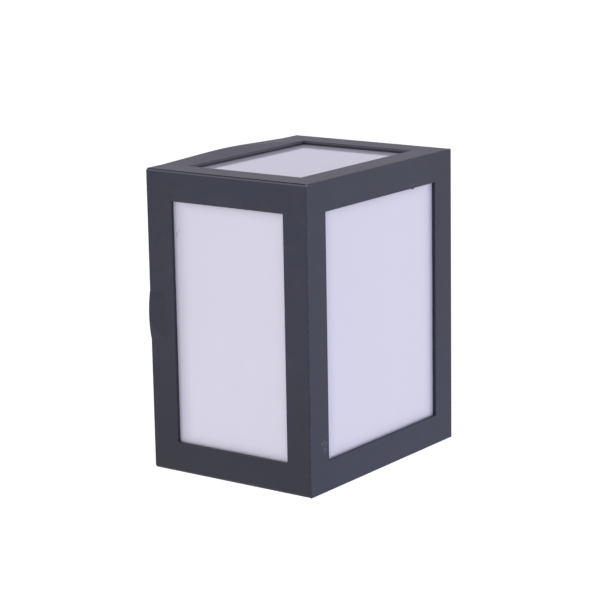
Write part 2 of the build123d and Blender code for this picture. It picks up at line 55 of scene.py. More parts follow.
class Signal:  # a number, colour or vector on its way through a node tree
    def __init__(self, recipe, socket):
        self.recipe = recipe
        self.socket = socket

    def maths(self, operation, *others):
        return self.recipe.add("ShaderNodeMath", {"operation": operation}, [self, *others])

    def __add__(self, other):
        return self.maths("ADD", other)

    def __radd__(self, other):
        return self.maths("ADD", other)

    def __sub__(self, other):
        return self.maths("SUBTRACT", other)

    def __rsub__(self, other):
        return self.recipe.add("ShaderNodeMath", {"operation": "SUBTRACT"}, [other, self])

    def __mul__(self, other):
        return self.maths("MULTIPLY", other)

    def __rmul__(self, other):
        return self.maths("MULTIPLY", other)

    def __abs__(self):
        return self.maths("ABSOLUTE")

    def least(self, other):
        return self.maths("MINIMUM", other)

    def most(self, other):
        return self.maths("MAXIMUM", other)

    def above(self, level):
        return self.maths("GREATER_THAN", level)

    def wrapped(self, low, high):
        return self.maths("WRAP", high, low)

    def eased(self, start, stop, low=0.0, high=1.0):  # smooth step from low to high
        steps = {"interpolation_type": "SMOOTHSTEP"}
        return self.recipe.add("ShaderNodeMapRange", steps, [self, start, stop, low, high])


class Recipe:  # the node tree of one material, or of the sky
    def __init__(self, owner, surfaceName, constants, space="Object"):
        owner.use_nodes = True
        self.owner = owner
        self.tree = owner.node_tree
        self.surface = self.tree.nodes[surfaceName]
        for socketName, value in constants.items():
            self.surface.inputs[socketName].default_value = value
        self.place = self.add("ShaderNodeTexCoord", {}, {}, space)
        self.x, self.y, self.z = [
            self.add("ShaderNodeSeparateXYZ", {}, [self.place], axis) for axis in "XYZ"]

    def add(self, kind, settings, values, output=0):
        node = self.tree.nodes.new(kind)
        for key, value in settings.items():
            setattr(node, key, value)
        sockets = {s.identifier: s for s in node.inputs}
        pairs = values.items() if isinstance(values, dict) else enumerate(values)
        for key, value in pairs:
            socket = sockets[key] if key in sockets else node.inputs[key]
            if isinstance(value, Signal):
                self.tree.links.new(value.socket, socket)
            else:
                socket.default_value = value
        results = {s.identifier: s for s in node.outputs}
        return Signal(self, results[output] if output in results else node.outputs[output])

    def vector(self, operation, first, second, output="Vector"):
        return self.add("ShaderNodeVectorMath", {"operation": operation}, [first, second], output)

    def stretched(self, scale):  # the coordinates, scaled differently along each axis
        return self.vector("MULTIPLY", self.place, scale)

    def cloud(self, scale, detail=3.0, rough=0.55, place=None):
        values = {"Vector": place or self.place, "Scale": scale, "Detail": detail, "Roughness": rough}
        return self.add("ShaderNodeTexNoise", {}, values, "Fac")

    def cells(self, scale, feature="F1", distance="EUCLIDEAN", place=None):
        values = {"Vector": place or self.place, "Scale": scale}
        settings = {"feature": feature, "distance": distance}
        return self.add("ShaderNodeTexVoronoi", settings, values, "Distance")

    def mixed(self, amount, first, second):
        values = {"Factor_Float": amount, "A_Color": first, "B_Color": second}
        return self.add("ShaderNodeMix", {"data_type": "RGBA"}, values, "Result_Color")

    def away(self, centre, squash=(1.0, 1.0, 1.0)):  # distance from a spot
        offset = self.vector("SUBTRACT", self.place, centre)
        offset = self.vector("MULTIPLY", offset, squash)
        return self.add("ShaderNodeVectorMath", {"operation": "LENGTH"}, [offset], "Value")

    def near(self, centre, radius, squash=(1.0, 1.0, 1.0)):  # 1 at a spot, 0 past its radius
        return self.away(centre, squash).eased(radius, radius * 0.2)

    def relief(self, height, strength, depth):
        values = {"Height": height, "Strength": strength, "Distance": depth}
        self.feed("Normal", self.add("ShaderNodeBump", {}, values, "Normal"))

    def feed(self, socketName, signal):
        self.tree.links.new(signal.socket, self.surface.inputs[socketName])


def newMaterial(name, constants):
    return Recipe(bpy.data.materials.new(name), "Principled BSDF", constants)


def paint(material, *nodeNames):
    for nodeName in nodeNames:
        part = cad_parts[nodeName]
        if not part.material_slots:
            part.data.materials.append(material)
        for holder in part.material_slots:
            holder.material = material


def finishPiece(name, mesh, material, body, smooth=False):
    bmesh.ops.recalc_face_normals(mesh, faces=mesh.faces)
    data = bpy.data.meshes.new(name)
    mesh.to_mesh(data)
    mesh.free()
    data.materials.append(material)
    for polygon in data.polygons:
        polygon.use_smooth = smooth
    piece = bpy.data.objects.new(name, data)
    bpy.context.scene.collection.objects.link(piece)
    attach(piece, body)
    return piece


def turnAngles(count):  # evenly spaced angles of one full turn
    return [2.0 * math.pi * i / count for i in range(count)]


def stitchRings(mesh, rings, capped=True):  # closed rings of points joined into one skin
    made = [[mesh.verts.new(point) for point in ring] for ring in rings]
    count = len(made[0])
    for first, second in zip(made, made[1:]):
        for j in range(count):
            k = (j + 1) % count
            mesh.faces.new((first[j], first[k], second[k], second[j]))
    if capped:
        mesh.faces.new(made[0][::-1])
        mesh.faces.new(made[-1])


shot = {
    "aim": (-0.0030, -0.0645, 0.0052),
    "azimuth": -53.76,
    "elevation": 12.68,
    "distance": 1.451,
    "roll": -1.03,
    "lens": 131.3,
}


def makeCamera(plan):
    azimuth = math.radians(plan["azimuth"])
    elevation = math.radians(plan["elevation"])
    back = Vector((
        math.sin(azimuth) * math.cos(elevation),
        -math.cos(azimuth) * math.cos(elevation),
        math.sin(elevation),
    ))
    right = Vector((0.0, 0.0, 1.0)).cross(back).normalized()
    turn = Matrix((right, back.cross(right), back)).transposed()
    turn = turn @ Matrix.Rotation(math.radians(plan["roll"]), 3, "Z")
    data = bpy.data.cameras.new("camera")
    data.lens = plan["lens"]
    data.clip_start = 0.01
    data.clip_end = 200.0
    camera = bpy.data.objects.new("camera", data)
    place = Vector(plan["aim"]) + back * plan["distance"]
    camera.matrix_world = Matrix.Translation(place) @ turn.to_4x4()
    bpy.context.scene.collection.objects.link(camera)
    bpy.context.scene.camera = camera


paleFloor = {
    "level": -0.62,
    "size": 60.0,
    "colour": (0.92, 0.92, 0.93, 1.0),
    "paler": (0.94, 0.94, 0.95, 1.0),
    "glow": 0.50,  # a lit floor, as on a light table
}


def makeFloor(plan):
    half = plan["size"] / 2
    data = bpy.data.meshes.new("floor")
    corners = [(-half, -half), (half, -half), (half, half), (-half, half)]
    data.from_pydata([(x, y, plan["level"]) for x, y in corners], [], [(0, 1, 2, 3)])
    recipe = newMaterial("paleFloor", {
        "Roughness": 0.8, "Specular IOR Level": 0.2,
        "Emission Color": (1.0, 1.0, 1.0, 1.0), "Emission Strength": plan["glow"],
    })
    recipe.feed("Base Color", recipe.mixed(recipe.cloud(3.0, 2.0), plan["colour"], plan["paler"]))
    data.materials.append(recipe.owner)
    floor = bpy.data.objects.new("floor", data)
    bpy.context.scene.collection.objects.link(floor)


studioSky = {"tint": (0.95, 0.93, 1.07, 1.0), "horizon": 0.95, "zenith": 0.45}
softBoxes = {
    "frontBox": {"at": (1.5, -2.2, 0.7), "power": 3.0, "size": 1.6, "tint": (0.62, 0.80, 1.0)},
    "sideBox": {"at": (-2.4, -0.5, 1.1), "power": 2.0, "size": 1.4, "tint": (1.0, 0.97, 1.0)},
}


def makeSky(plan):
    world = bpy.data.worlds.new("studioSky")
    bpy.context.scene.world = world
    world.use_nodes = True
    recipe = Recipe(world, "Background", {"Color": plan["tint"]}, "Generated")
    fall = plan["zenith"] - plan["horizon"]
    recipe.feed("Strength", recipe.z.most(0.0) * fall + plan["horizon"])


def makeSoftBox(name, plan):
    data = bpy.data.lights.new(name, "AREA")
    data.energy = plan["power"]
    data.size = plan["size"]
    data.color = plan["tint"]
    lamp = bpy.data.objects.new(name, data)
    lamp.location = plan["at"]
    facing = Vector(plan["at"]) - Vector(shot["aim"])
    lamp.rotation_euler = facing.to_track_quat("Z", "Y").to_euler()
    bpy.context.scene.collection.objects.link(lamp)


makeCamera(shot)
makeFloor(paleFloor)
makeSky(studioSky)
for boxName, boxPlan in softBoxes.items():
    makeSoftBox(boxName, boxPlan)
bpy.context.scene.view_settings.view_transform = "Standard"
print("camera, floor and lights placed")


mouldedFrame = {
    "cool": (0.0180, 0.0225, 0.0420, 1.0),
    "warm": (0.0262, 0.0254, 0.0412, 1.0),
    "pale": (0.0330, 0.0340, 0.0540, 1.0),
    # the colour of the dark marks, and of painted shade
    "dark": (0.0080, 0.0080, 0.0120, 1.0),
    # painted sheen of the top face
    "top": (0.0640, 0.0640, 0.0860, 1.0),
    # painted light: the front face drawn in its own tint
    "frontPaintedTint": (0.0060, 0.0140, 0.0460, 1.0),
    "revealSheen": (0.0620, 0.0600, 0.0780, 1.0),  # painted sheen on the inner faces of the top window and on the bottom ledges of the windows
    # painted highlight along the upper edge of the top window's inner faces
    "revealLipHighlight": (0.1500, 0.1470, 0.1750, 1.0),
    "sideLipHighlight": (0.1350, 0.1330, 0.1560, 1.0),  # painted highlight on the rounded top edge of a side frame
    "worn": (0.0650, 0.0630, 0.0800, 1.0),
    "scuff": (0.2400, 0.2250, 0.2400, 1.0),
    "rough": 0.46,
    "grain": 1500.0,
    "grainDepth": 0.03 * mm,
    "wearWidth": 0.9 * mm,
    "skin": 0.25 * mm,  # a point deeper than this is inside a window
    "sillSkin": 0.05 * mm,
    "sideStep": 1.25 * mm,  # the top and bottom stop this far short of a side frame's face
    "stepWidth": 0.25 * mm,
    "stepLevel": 99.2 * mm,
    "lipLevel": 98.4 * mm,
    "topLevel": 99.2 * mm,
    "sillDrop": 0.6 * mm,
    "sillRise": 0.4 * mm,
    "lowerShade": (20.0 * mm, -95.0 * mm),  # painted shade, where the plastic is drawn darker: down the cage, to the rear of the sides, and to the right of the rest
    "rearShade": (-40.0 * mm, -12.0 * mm),  # to the rear of the sides,
    "farShade": (40.0 * mm, 72.0 * mm),  # and to the right of the rest
    "revealFade": (95.0 * mm, 97.0 * mm),
    "revealLipFade": (98.2 * mm, 99.2 * mm),
    "scuffs": (  # centre, radius and squash of each pale rub mark
        ((-67.8 * mm, cageLow.y, -67.2 * mm), 3.6 * mm, (0.65, 1.0, 1.5)),
        ((-67.0 * mm, cageLow.y, -71.9 * mm), 3.0 * mm, (0.9, 1.0, 0.65)),
        ((-65.1 * mm, cageLow.y, -64.0 * mm), 2.0 * mm, (1.4, 1.0, 0.5)),
        ((-63.1 * mm, cageLow.y, -68.0 * mm), 1.0 * mm, (1.0, 1.0, 1.0)),
        ((-3.5 * mm, cageLow.y, 85.6 * mm), 1.1 * mm, (1.0, 1.0, 0.7)),
        ((35.0 * mm, cageLow.y, 82.3 * mm), 1.9 * mm, (0.6, 1.0, 1.4)),
        ((cageLow.x, -58.0 * mm, -59.5 * mm), 1.6 * mm, (1.0, 0.5, 1.4)),
        ((cageLow.x, -117.6 * mm, 84.8 * mm), 0.8 * mm, (1.0, 1.0, 0.8)),
        ((-26.0 * mm, -23.6 * mm, -cageLow.z), 1.2 * mm, (0.6, 1.0, 1.0)),
    ),
    "darkMarks": (
        ((64.7 * mm, cageLow.y, -86.0 * mm), 1.6 * mm, (0.4, 1.0, 1.0)),
        ((cageLow.x, -27.5 * mm, -77.5 * mm), 1.2 * mm, (1.0, 1.0, 0.5)),
    ),
}


def distanceToEdges(recipe):  # from the nearest outer edge of the cage
    gapX = cageHigh.x - abs(recipe.x)
    gapY = (recipe.y - cageLow.y).least(cageHigh.y - recipe.y)
    gapZ = (-cageLow.z - abs(recipe.z)).most(0.0)
    return gapX.most(gapZ).least(gapX.most(gapY)).least(gapY.most(gapZ))


def distanceToFaces(recipe):  # how deep a point lies below the outer faces
    gapX = cageHigh.x - abs(recipe.x)
    gapY = (recipe.y - cageLow.y).least(cageHigh.y - recipe.y)
    return gapX.least(gapY).least(-cageLow.z - recipe.z)


def plasticToneAndPaintedLight(recipe, plan, flow, grain):  # the colour of the plastic away from its edges, with painted shade lower down, to the rear and to the right, a painted sheen on the top, a painted front tint, and painted sheen on the window reveals and ledges
    x, y, z = recipe.x, recipe.y, recipe.z
    wipe = recipe.cloud(22.0, 4.0, 0.6, recipe.stretched((1.0, 1.3, 3.2)))
    tone = recipe.mixed(flow.eased(0.36, 0.64), plan["cool"], plan["warm"])
    tone = recipe.mixed(wipe.eased(0.50, 0.74) * 0.75, tone, plan["pale"])
    tone = recipe.mixed(grain.eased(0.35, 0.75) * 0.25, tone, plan["pale"])
    onSides = abs(x).above(cageHigh.x - plan["sideStep"])
    onFront = (cageLow.y + 0.6 * mm - y).above(0.0)
    # painted shade: the plastic drawn darker down the cage (more on the sides), to the rear of the sides,
    # and to the right
    paintedLowShade = z.eased(*plan["lowerShade"])
    tone = recipe.mixed(paintedLowShade * (onSides * 0.36 + 0.24), tone, plan["dark"])
    tone = recipe.mixed(onSides * y.eased(*plan["rearShade"]) * 0.28, tone, plan["dark"])
    tone = recipe.mixed(x.eased(*plan["farShade"]) * (1.0 - onSides) * 0.50, tone, plan["dark"])
    # painted sheen: the top face drawn paler
    paintedTopSheen = z.eased(plan["topLevel"], plan["topLevel"] + 0.7 * mm)
    tone = recipe.mixed(paintedTopSheen * 0.60, tone, plan["top"])
    depth = distanceToFaces(recipe)
    # painted sheen on the inner faces of the top window, with a painted highlight near their upper edge
    revealSheen = z.eased(*plan["revealFade"]) * depth.above(plan["skin"])
    tone = recipe.mixed(revealSheen * 0.6, tone, plan["revealSheen"])
    tone = recipe.mixed(revealSheen * z.eased(*plan["revealLipFade"]) * 0.8, tone, plan["revealLipHighlight"])
    # painted light: the bottom ledges of the windows drawn in the paler sheen colour
    paintedSillLight = depth.above(plan["sillSkin"]) * z.above(-windowHalfZ - plan["sillDrop"])
    paintedSillLight = paintedSillLight * (1.0 - z.above(-windowHalfZ + plan["sillRise"]))
    tone = recipe.mixed(paintedSillLight * 0.8, tone, plan["revealSheen"])
    # painted light: the front face in its own tint, darker lower down
    return recipe.mixed(onFront * (paintedLowShade * 0.40 + 0.28), tone, plan["frontPaintedTint"])


def wearAndPaintedEdgeLight(recipe, plan, tone, edges):  # pale worn edges, a painted highlight on the rounded top edge of each side frame, painted shade in the step along each side, and rub marks
    patchy = recipe.cloud(240.0, 3.0, 0.6).eased(0.42, 0.62)
    tone = recipe.mixed(edges * patchy * 0.45, tone, plan["worn"])
    stepStart = cageHigh.x - plan["sideStep"]
    pastStep = abs(recipe.x).above(stepStart + plan["stepWidth"])
    # painted highlight on the rounded top edge of each side frame
    lipHighlight = pastStep * recipe.z.eased(plan["lipLevel"], plan["lipLevel"] + 0.4 * mm)
    # painted shade in the step between the top and each side frame
    step = abs(recipe.x).above(stepStart) - pastStep
    step = step * recipe.z.eased(plan["stepLevel"], plan["stepLevel"] + 0.2 * mm)
    tone = recipe.mixed(lipHighlight * 0.85, tone, plan["sideLipHighlight"])
    tone = recipe.mixed(step * 0.8, tone, plan["dark"])
    speck = recipe.cloud(620.0, 1.0, 0.4).eased(0.765, 0.79)
    scratch = recipe.cloud(150.0, 2.0, 0.5, recipe.stretched((0.35, 0.35, 6.0))).eased(0.765, 0.79)
    rubbed = (speck * 0.22).most(scratch * 0.10)
    broken = recipe.cloud(620.0, 5.0, 0.8, recipe.stretched((1.0, 1.0, 0.7))).eased(0.49, 0.64)
    for centre, radius, squash in plan["scuffs"]:
        rubbed = rubbed.most(recipe.near(centre, radius, squash) * broken * 0.75)
    tone = recipe.mixed(rubbed, tone, plan["scuff"])
    for centre, radius, squash in plan["darkMarks"]:
        tone = recipe.mixed(recipe.near(centre, radius, squash) * broken * 0.8, tone, plan["dark"])
    return tone


def makeFrameFinish(plan):
    recipe = newMaterial("mouldedFrame", {"IOR": 1.5, "Specular IOR Level": 0.42})
    grain = recipe.cloud(plan["grain"], 2.0, 0.6)
    flow = recipe.cloud(48.0, 4.0, 0.6)
    edges = distanceToEdges(recipe).eased(plan["wearWidth"], 0.0)
    tone = plasticToneAndPaintedLight(recipe, plan, flow, grain)
    recipe.feed("Base Color", wearAndPaintedEdgeLight(recipe, plan, tone, edges))
    recipe.feed("Roughness", grain * 0.1 + flow * 0.08 + (plan["rough"] - 0.09) - edges * 0.05)
    recipe.relief(grain + flow * 0.4, 0.35, plan["grainDepth"])
    return recipe.owner


frameFinish = makeFrameFinish(mouldedFrame)
paint(frameFinish, "main_frame", "side_frame_left", "side_frame_right")

windowFlash = {  # a sliver of flash left on the top edge of the front window
    "x": 36.1 * mm,
    "y": cageLow.y + 0.25 * mm,
    "z": windowHalfZ,
    "length": 3.0 * mm,
    "drop": 0.8 * mm,
    "steps": 11,
}


def makeFlash(plan):
    mesh = bmesh.new()
    rings = []
    for i in range(plan["steps"]):
        along = i / (plan["steps"] - 1) - 0.5
        drop = 0.25 + 0.75 * math.cos(along * math.pi) ** 2
        drop *= plan["drop"] * (1.0 + 0.3 * math.sin(i * 2.4))
        x = plan["x"] + along * plan["length"]
        corners = (
            (-0.18 * mm, 0.1 * mm), (0.22 * mm, 0.1 * mm), (0.12 * mm, -drop), (-0.1 * mm, -drop * 0.9))
        rings.append([(x, plan["y"] + dy, plan["z"] + dz) for dy, dz in corners])
    stitchRings(mesh, rings)
    finishPiece("window_flash", mesh, frameFinish, "lantern_cage")


makeFlash(windowFlash)
print("frame finished")


opalPlastic = {
    "core": (0.745, 0.735, 0.790, 1.0),
    # painted light: the front face drawn in its own bluer tint
    "frontPaintedCore": (0.712, 0.708, 0.800, 1.0),
    # painted shade: the diffuser's colour at the window borders
    "edge": (0.560, 0.540, 0.600, 1.0),
    "frontEdgeShade": (0.575, 0.570, 0.700, 1.0),
    "rough": 0.085,
    "fade": 13.0 * mm,
    "wander": 1.5 * mm,
    "fadeStart": -2.0 * mm,
    "frontSlack": 7.0 * mm,  # the shade is weaker along the front and the level edges
    "levelSlack": 5.5 * mm,
    "reach": 4.0 * mm,  # how far behind a face a point still belongs to it
}


def makeOpal(plan):
    recipe = newMaterial("opalPlastic", {
        "IOR": 1.49, "Subsurface Weight": 0.1, "Subsurface Radius": (0.004, 0.004, 0.004),
        "Subsurface Scale": 1.0,
    })
    low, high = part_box("opal_diffuser")
    reach = plan["reach"]
    onFront = (-1.0 * recipe.y).above(reach * -1.0 - low.y)  # 1 on the front face, and so on
    onSide = abs(recipe.x).above(high.x - reach)
    onTop = abs(recipe.z).above(high.z - reach)
    gapX = windowHalfX - abs(recipe.x) + onSide
    gapZ = windowHalfZ - abs(recipe.z) + plan["levelSlack"] + onTop
    gapY = (recipe.y - windowFront + plan["frontSlack"]).least(windowRear - recipe.y) + onFront
    gap = gapX.least(gapY).least(gapZ) + (recipe.cloud(38.0, 2.0) - 0.5) * plan["wander"]
    # painted shade: glow falls from 1 inside each window to 0 at its borders, where the diffuser is drawn
    # in the darker edge colour
    glow = gap.eased(plan["fadeStart"], plan["fade"])
    haze = recipe.cloud(9.0, 2.0).eased(0.3, 0.7, 0.95, 1.0)
    streak = recipe.cloud(60.0, 2.0, 0.5, recipe.stretched((1.0, 1.0, 0.06)))
    streak = streak.eased(0.3, 0.7, 0.975, 1.0)
    # painted light: the front face gets its own tints
    core = recipe.mixed(onFront, plan["core"], plan["frontPaintedCore"])
    edge = recipe.mixed(onFront, plan["edge"], plan["frontEdgeShade"])
    recipe.feed("Base Color", recipe.mixed(glow * haze * streak, edge, core))
    ripple = recipe.cloud(900.0, 2.0)
    recipe.feed("Roughness", ripple * 0.03 + recipe.cloud(25.0, 2.0) * 0.03 + (plan["rough"] - 0.03))
    recipe.relief(ripple, 0.15, 0.006 * mm)
    return recipe.owner


paint(makeOpal(opalPlastic), "opal_diffuser")
print("diffuser finished")


def makePlainFinish(name, plan, constants):  # two tones, fine dust, and a grain in the surface
    recipe = newMaterial(name, constants)
    place = recipe.stretched(plan.get("stretch", (1.0, 1.0, 1.0)))
    patches = recipe.cloud(plan["patches"], 3.0, 0.6, place)
    grain = recipe.cloud(plan["grain"], 2.0, 0.6, place)
    tone = recipe.mixed(patches.eased(0.35, 0.65), plan["tone"], plan["other"])
    dust = recipe.cloud(plan.get("dustScale", 700.0), 2.0, 0.5).eased(0.66, 0.76)
    dustTone = plan.get("dustTone", (0.35, 0.34, 0.32, 1.0))
    recipe.feed("Base Color", recipe.mixed(dust * plan.get("dust", 0.2), tone, dustTone))
    spread = plan.get("spread", 0.12)
    recipe.feed("Roughness", patches * spread + grain * spread * 0.6 + (plan["rough"] - spread * 0.8))
    recipe.relief(grain + patches * 0.3, plan.get("bump", 0.3), plan.get("depth", 0.02) * mm)
    return recipe.owner


metalLook = {"Metallic": 1.0}
softLook = {"IOR": 1.43, "Subsurface Weight": 0.15, "Subsurface Radius": (0.001, 0.001, 0.001)}
plainFinishes = {
    "zincSteel": ({
        "tone": (0.56, 0.57, 0.60, 1.0), "other": (0.66, 0.65, 0.60, 1.0), "patches": 420.0,
        "grain": 3200.0, "rough": 0.3, "stretch": (1.0, 0.25, 1.0), "dust": 0.25,
        "dustTone": (0.30, 0.28, 0.25, 1.0),
    }, metalLook, (
        "side_frame_screws", "retaining_nuts", "tray_screws", "board_screws", "driver_screws",
        "terminal_screws", "block_screws", "cord_clamp_screws",
    )),
    "brightBrass": ({
        "tone": (0.66, 0.49, 0.20, 1.0), "other": (0.74, 0.58, 0.30, 1.0), "patches": 300.0,
        "grain": 2600.0, "rough": 0.28, "stretch": (1.0, 1.0, 5.0), "dust": 0.2,
        "dustTone": (0.25, 0.15, 0.06, 1.0),
    }, metalLook, ("terminal_sleeves",)),
    "greySilicone": ({
        "tone": (0.42, 0.42, 0.41, 1.0), "other": (0.48, 0.48, 0.46, 1.0), "patches": 160.0,
        "grain": 1300.0, "rough": 0.5, "dust": 0.35, "dustTone": (0.7, 0.69, 0.67, 1.0),
    }, softLook, ("diffuser_seal",)),
    "blackRubber": ({
        "tone": (0.018, 0.018, 0.020, 1.0), "other": (0.030, 0.029, 0.029, 1.0), "patches": 210.0,
        "grain": 1500.0, "rough": 0.62, "dust": 0.3, "dustTone": (0.12, 0.12, 0.115, 1.0), "depth": 0.03,
    }, {"IOR": 1.52}, ("cable_grommet", "lead_grommet")),
    "powderCoat": ({
        "tone": (0.80, 0.80, 0.79, 1.0), "other": (0.86, 0.86, 0.85, 1.0), "patches": 30.0,
        "grain": 650.0, "rough": 0.42, "bump": 0.5, "depth": 0.05, "dust": 0.08,
    }, {"IOR": 1.5}, ("led_tray",)),
    "whiteNylon": ({
        "tone": (0.74, 0.74, 0.69, 1.0), "other": (0.80, 0.80, 0.77, 1.0), "patches": 240.0,
        "grain": 2000.0, "rough": 0.34, "dust": 0.12,
    }, softLook, ("board_connector",)),
    "driverPlastic": ({
        "tone": (0.70, 0.70, 0.67, 1.0), "other": (0.77, 0.77, 0.75, 1.0), "patches": 60.0,
        "grain": 1700.0, "rough": 0.48, "bump": 0.45, "depth": 0.03, "dust": 0.15,
    }, {"IOR": 1.5}, ("driver_case", "driver_lid")),
    "ivoryNylon": ({
        "tone": (0.66, 0.62, 0.50, 1.0), "other": (0.72, 0.69, 0.58, 1.0), "patches": 130.0,
        "grain": 1800.0, "rough": 0.4, "dust": 0.15,
    }, softLook, ("terminal_block",)),
    "chipHousing": ({
        "tone": (0.80, 0.80, 0.78, 1.0), "other": (0.86, 0.86, 0.85, 1.0), "patches": 900.0,
        "grain": 4000.0, "rough": 0.35, "dust": 0.1,
    }, softLook, ("led_chips",)),
    "leadBrown": ({
        "tone": (0.130, 0.050, 0.020, 1.0), "other": (0.170, 0.070, 0.028, 1.0), "patches": 90.0,
        "grain": 1500.0, "rough": 0.38, "dust": 0.15,
    }, {"IOR": 1.53}, ("live_lead",)),
    "leadBlue": ({
        "tone": (0.020, 0.090, 0.420, 1.0), "other": (0.030, 0.115, 0.480, 1.0), "patches": 90.0,
        "grain": 1500.0, "rough": 0.38, "dust": 0.15,
    }, {"IOR": 1.53}, ("neutral_lead",)),
    "leadRed": ({
        "tone": (0.420, 0.020, 0.018, 1.0), "other": (0.500, 0.034, 0.028, 1.0), "patches": 90.0,
        "grain": 1500.0, "rough": 0.38, "dust": 0.15,
    }, {"IOR": 1.53}, ("led_lead_positive",)),
    "leadBlack": ({
        "tone": (0.014, 0.014, 0.015, 1.0), "other": (0.024, 0.023, 0.023, 1.0), "patches": 90.0,
        "grain": 1500.0, "rough": 0.38, "dust": 0.2, "dustTone": (0.1, 0.1, 0.1, 1.0),
    }, {"IOR": 1.53}, ("led_lead_negative",)),
}
made = {}
for finishName, (finishPlan, constants, nodeNames) in plainFinishes.items():
    made[finishName] = makePlainFinish(finishName, finishPlan, constants)
    paint(made[finishName], *nodeNames)
print("small parts finished:", len(made), "finishes")


baseMoulding = {
    "tone": (0.026, 0.027, 0.033, 1.0),
    "other": (0.037, 0.037, 0.043, 1.0),
    "scrape": (0.110, 0.108, 0.115, 1.0),
    "rough": 0.55,
    "grain": 1100.0,
    "sprue": (0.0, -1.5 * mm, 15.0 * mm),
    "sprueRing": (2.2 * mm, 1.6 * mm),  # outer and inner radius
    "flat": (1.0, 0.2, 1.0),  # distances along the back, mostly ignoring depth
    "pinRings": [(sx * 30.0 * mm, -1.5 * mm, sz * 74.0 * mm) for sx in (-1, 1) for sz in (-1, 1)],
    "pinRadius": 3.0 * mm,
    "slotX": 50.0 * mm,
    "slotReach": 11.0 * mm,
    "slotRise": 7.0 * mm,
}


def makeBaseFinish(plan):
    recipe = newMaterial("baseMoulding", {"IOR": 1.5, "Specular IOR Level": 0.4})
    grain = recipe.cloud(plan["grain"], 2.0, 0.65)
    centre = recipe.away(plan["sprue"], plan["flat"])
    flow = recipe.cloud(26.0, 3.0, 0.6)
    waves = (centre * 900.0 + flow * 9.0).maths("SINE") * 0.5 + 0.5  # flow lines around the sprue
    tone = recipe.mixed(flow * 0.7 + waves * 0.15, plan["tone"], plan["other"])
    outer, inner = plan["sprueRing"]
    blur = 0.2 * mm
    rings = centre.eased(outer + blur, outer - blur) - centre.eased(inner + blur, inner - blur)
    for spot in plan["pinRings"]:
        width = abs(recipe.away(spot, plan["flat"]) - plan["pinRadius"])
        rings = rings.most(width.eased(0.35 * mm, 0.05 * mm))
    besideSlot = abs(abs(recipe.x) - plan["slotX"]).eased(plan["slotReach"], 5.0 * mm)
    besideSlot = besideSlot * abs(recipe.z).eased(plan["slotRise"], 2.5 * mm)
    scraped = recipe.cloud(420.0, 3.0, 0.6, recipe.stretched((0.3, 1.0, 1.6))).eased(0.52, 0.66)
    tone = recipe.mixed(besideSlot * scraped * 0.5, tone, plan["scrape"])
    dust = recipe.cloud(800.0, 2.0, 0.5).eased(0.68, 0.76)
    tone = recipe.mixed(dust * 0.3, tone, plan["scrape"])
    recipe.feed("Base Color", tone)
    recipe.feed("Roughness", grain * 0.12 + waves * 0.03 + (plan["rough"] - 0.08))
    recipe.relief(grain + waves * 0.25 - rings * 2.0, 0.4, 0.04 * mm)
    return recipe.owner


paint(makeBaseFinish(baseMoulding), "rear_base", "cord_clamp")

foamGasket = {"skin": (0.030, 0.030, 0.031, 1.0), "poreShade": (0.006, 0.006, 0.006, 1.0), "cell": 1400.0}


def makeFoam(plan):
    recipe = newMaterial("foamGasket", {"IOR": 1.45, "Specular IOR Level": 0.25})
    cell = recipe.cells(plan["cell"])
    skin = recipe.cloud(90.0, 3.0)
    # painted shade in the hollow cells of the foam
    poreShadeMask = cell.eased(0.45, 0.15) * skin.eased(0.35, 0.6, 0.4, 1.0)
    recipe.feed("Base Color", recipe.mixed(poreShadeMask, plan["skin"], plan["poreShade"]))
    recipe.feed("Roughness", skin * 0.12 + 0.8)
    recipe.relief(cell + skin * 0.5, 0.8, 0.12 * mm)
    return recipe.owner


paint(makeFoam(foamGasket), "wall_gasket")

lightBoard = {
    "mask": (0.80, 0.80, 0.78, 1.0),
    "track": (0.86, 0.855, 0.83, 1.0),
    "tin": (0.60, 0.60, 0.58, 1.0),
    "edge": (0.55, 0.55, 0.56, 1.0),
    "columns": 22.0 * mm,
    "rows": 14.0 * mm,
    "padX": 2.3 * mm,  # half sizes
    "padZ": 2.7 * mm,
    "padEnd": 52.0 * mm,
    "copperX": 9.5 * mm,
    "copperEnd": 57.0 * mm,
    "cutZ": 5.6 * mm,
}


def makeBoardFinish(plan):
    recipe = newMaterial("lightBoard", {"IOR": 1.52})
    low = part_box("led_board")[0]
    acrossX = abs(recipe.x.wrapped(-0.5 * plan["columns"], 0.5 * plan["columns"]))
    offset = recipe.z - 0.5 * plan["rows"]
    acrossZ = abs(offset.wrapped(-0.5 * plan["rows"], 0.5 * plan["rows"]))
    edge = 0.1 * mm
    pad = acrossX.eased(plan["padX"], plan["padX"] - edge)
    pad = pad * acrossZ.eased(plan["padZ"], plan["padZ"] - edge)
    pad = pad * abs(recipe.z).eased(plan["padEnd"], plan["padEnd"] - edge)
    gap = abs(acrossZ - plan["cutZ"]).eased(0.3 * mm, 0.2 * mm)  # cuts between the copper areas
    copper = acrossX.eased(plan["copperX"], plan["copperX"] - 2.0 * edge) * (1.0 - gap)
    copper = copper * abs(recipe.z).eased(plan["copperEnd"], plan["copperEnd"] - 2.0 * edge)
    onFront = (-1.0 * recipe.y).above(-edge - low.y)
    tone = recipe.mixed(copper, plan["mask"], plan["track"])
    tone = recipe.mixed(pad * onFront, tone, plan["tin"])
    tone = recipe.mixed(1.0 - onFront, tone, plan["edge"])
    smear = recipe.cloud(120.0, 3.0)
    recipe.feed("Base Color", recipe.mixed(smear.eased(0.6, 0.8) * 0.15, tone, plan["tin"]))
    recipe.feed("Metallic", (pad * onFront).most(1.0 - onFront) * 0.8)
    recipe.feed("Roughness", smear * 0.12 + 0.22)
    recipe.relief(copper + pad * 0.4 + recipe.cloud(1800.0, 2.0) * 0.15, 0.5, 0.035 * mm)
    return recipe.owner


